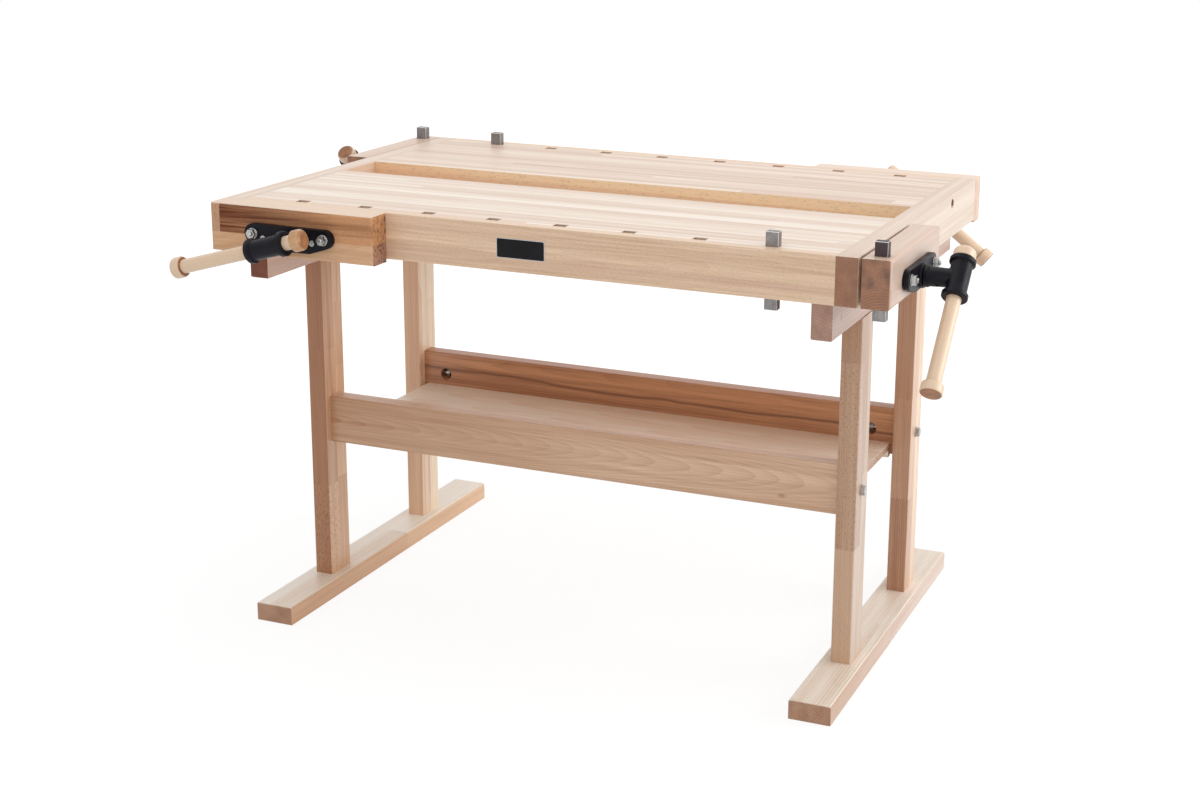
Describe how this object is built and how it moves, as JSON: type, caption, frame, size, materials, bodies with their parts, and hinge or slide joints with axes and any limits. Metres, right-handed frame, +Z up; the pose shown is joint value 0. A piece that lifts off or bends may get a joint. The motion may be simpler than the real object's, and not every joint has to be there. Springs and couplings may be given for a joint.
{
  "type": "woodworking bench with vises",
  "caption": "Double-sided wooden workbench with a central tool trough, dog slots along both edges, face vises, end vises, steel dogs and a bolted trestle base with a shelf.",
  "frame": {"origin": "on the floor under the centre of the bench", "axes": "+X along the bench to its right end, +Y to its back, +Z up"},
  "size_m": [1.634, 1.1876, 0.927],
  "materials": {
    "worktop": "oiled beech in narrow staves",
    "end_cap": "oiled beech",
    "edge": "oiled beech",
    "plywood": "plywood",
    "base": "oiled beech",
    "rail": "oiled beech",
    "shelf": "oiled beech",
    "jaw": "oiled beech heartwood",
    "handle": "turned beech",
    "cast_black": "satin black paint",
    "bright_steel": "bright",
    "zinc_steel": "zinc plated",
    "dog_steel": "milled"
  },
  "bodies": {
    "bench": {"end_cap_left": "end_cap", "end_cap_right": "end_cap", "panel_front": "worktop", "panel_rear": "worktop", "dog_strip_front": "worktop", "dog_strip_rear": "worktop", "face_board_front": "edge", "face_board_rear": "edge", "trough_floor": "plywood", "foot_left": "base", "foot_right": "base", "leg_front_left": "base", "leg_front_right": "base", "leg_rear_left": "base", "leg_rear_right": "base", "bearer_left": "base", "bearer_right": "base", "rail_front": "rail", "rail_rear": "rail", "shelf_board": "shelf", "shelf_cleats": "base", "lag_screws": "zinc_steel", "rail_bolts": "zinc_steel", "vise_nut_plates": "cast_black"},
    "right_jaw": {"right_vise_jaw": "jaw", "right_vise_flange": "cast_black", "right_vise_guide_rods": "bright_steel", "right_vise_jaw_bolts": "zinc_steel"},
    "right_screw": {"right_vise_spindle": "bright_steel", "right_vise_hub": "cast_black"},
    "right_handle": {"right_vise_bar": "handle", "right_vise_knob": "handle"},
    "left_jaw": {"left_vise_jaw": "jaw", "left_vise_flange": "cast_black", "left_vise_guide_rods": "bright_steel", "left_vise_jaw_bolts": "zinc_steel"},
    "left_screw": {"left_vise_spindle": "bright_steel", "left_vise_hub": "cast_black"},
    "left_handle": {"left_vise_bar": "handle", "left_vise_knob": "handle"},
    "front_jaw": {"front_vise_jaw": "jaw", "front_vise_flange": "cast_black", "front_vise_guide_rods": "bright_steel", "front_vise_jaw_bolts": "zinc_steel"},
    "front_screw": {"front_vise_spindle": "bright_steel", "front_vise_hub": "cast_black"},
    "front_handle": {"front_vise_bar": "handle", "front_vise_knob": "handle"},
    "rear_jaw": {"rear_vise_jaw": "jaw", "rear_vise_flange": "cast_black", "rear_vise_guide_rods": "bright_steel", "rear_vise_jaw_bolts": "zinc_steel"},
    "rear_screw": {"rear_vise_spindle": "bright_steel", "rear_vise_hub": "cast_black"},
    "rear_handle": {"rear_vise_bar": "handle", "rear_vise_knob": "handle"},
    "front_dog": {"dog_front": "dog_steel"},
    "rear_dog": {"dog_rear": "dog_steel"},
    "right_jaw_dog": {"dog_right_jaw": "dog_steel"},
    "left_jaw_dog": {"dog_left_jaw": "dog_steel"}
  },
  "joints": [
    {"name": "right_jaw_slide", "type": "slide", "parent": "bench", "child": "right_jaw", "axis": [1, 0, 0], "range_m": [-0.00571, 0.12001]},
    {"name": "right_screw_turn", "type": "hinge", "parent": "right_jaw", "child": "right_screw", "pos_m": [0.655, -0.271, 0.841], "axis": [1, 0, 0], "range_deg": [-513, 10800]},
    {"name": "right_bar_slide", "type": "slide", "parent": "right_screw", "child": "right_handle", "axis": [0, 0.7071, 0.7071], "range_m": [0, 0.1774]},
    {"name": "left_jaw_slide", "type": "slide", "parent": "bench", "child": "left_jaw", "axis": [-1, 0, 0], "range_m": [-0.00271, 0.12001]},
    {"name": "left_screw_turn", "type": "hinge", "parent": "left_jaw", "child": "left_screw", "pos_m": [-0.655, 0.271, 0.841], "axis": [-1, 0, 0], "range_deg": [-243, 10800]},
    {"name": "left_bar_slide", "type": "slide", "parent": "left_screw", "child": "left_handle", "axis": [0, -0.7071, 0.7071], "range_m": [0, 0.1774]},
    {"name": "front_jaw_slide", "type": "slide", "parent": "bench", "child": "front_jaw", "axis": [0, -1, 0], "range_m": [0, 0.12001]},
    {"name": "front_screw_turn", "type": "hinge", "parent": "front_jaw", "child": "front_screw", "pos_m": [-0.47, -0.44, 0.841], "axis": [0, -1, 0], "range_deg": [0, 10800]},
    {"name": "front_bar_slide", "type": "slide", "parent": "front_screw", "child": "front_handle", "axis": [0.9613, 0, 0.2756], "range_m": [-0.0197, 0.1577]},
    {"name": "rear_jaw_slide", "type": "slide", "parent": "bench", "child": "rear_jaw", "axis": [0, 1, 0], "range_m": [0, 0.12001]},
    {"name": "rear_screw_turn", "type": "hinge", "parent": "rear_jaw", "child": "rear_screw", "pos_m": [0.47, 0.44, 0.841], "axis": [0, 1, 0], "range_deg": [0, 10800]},
    {"name": "rear_bar_slide", "type": "slide", "parent": "rear_screw", "child": "rear_handle", "axis": [-0.7934, 0, 0.6088], "range_m": [0, 0.1774]},
    {"name": "front_dog_slide", "type": "slide", "parent": "bench", "child": "front_dog", "axis": [0, 0, 1], "range_m": [-0.027, 0.06]},
    {"name": "rear_dog_slide", "type": "slide", "parent": "bench", "child": "rear_dog", "axis": [0, 0, 1], "range_m": [-0.027, 0.06]},
    {"name": "right_jaw_dog_slide", "type": "slide", "parent": "right_jaw", "child": "right_jaw_dog", "axis": [0, 0, 1], "range_m": [-0.027, 0.06]},
    {"name": "left_jaw_dog_slide", "type": "slide", "parent": "left_jaw", "child": "left_jaw_dog", "axis": [0, 0, 1], "range_m": [-0.027, 0.06]}
  ],
  "couplings": [
    {"joint": "right_jaw_slide", "follows": "right_screw_turn", "m_per_rad": 0.00063662},
    {"joint": "left_jaw_slide", "follows": "left_screw_turn", "m_per_rad": 0.00063662},
    {"joint": "front_jaw_slide", "follows": "front_screw_turn", "m_per_rad": 0.00063662},
    {"joint": "rear_jaw_slide", "follows": "rear_screw_turn", "m_per_rad": 0.00063662}
  ]
}
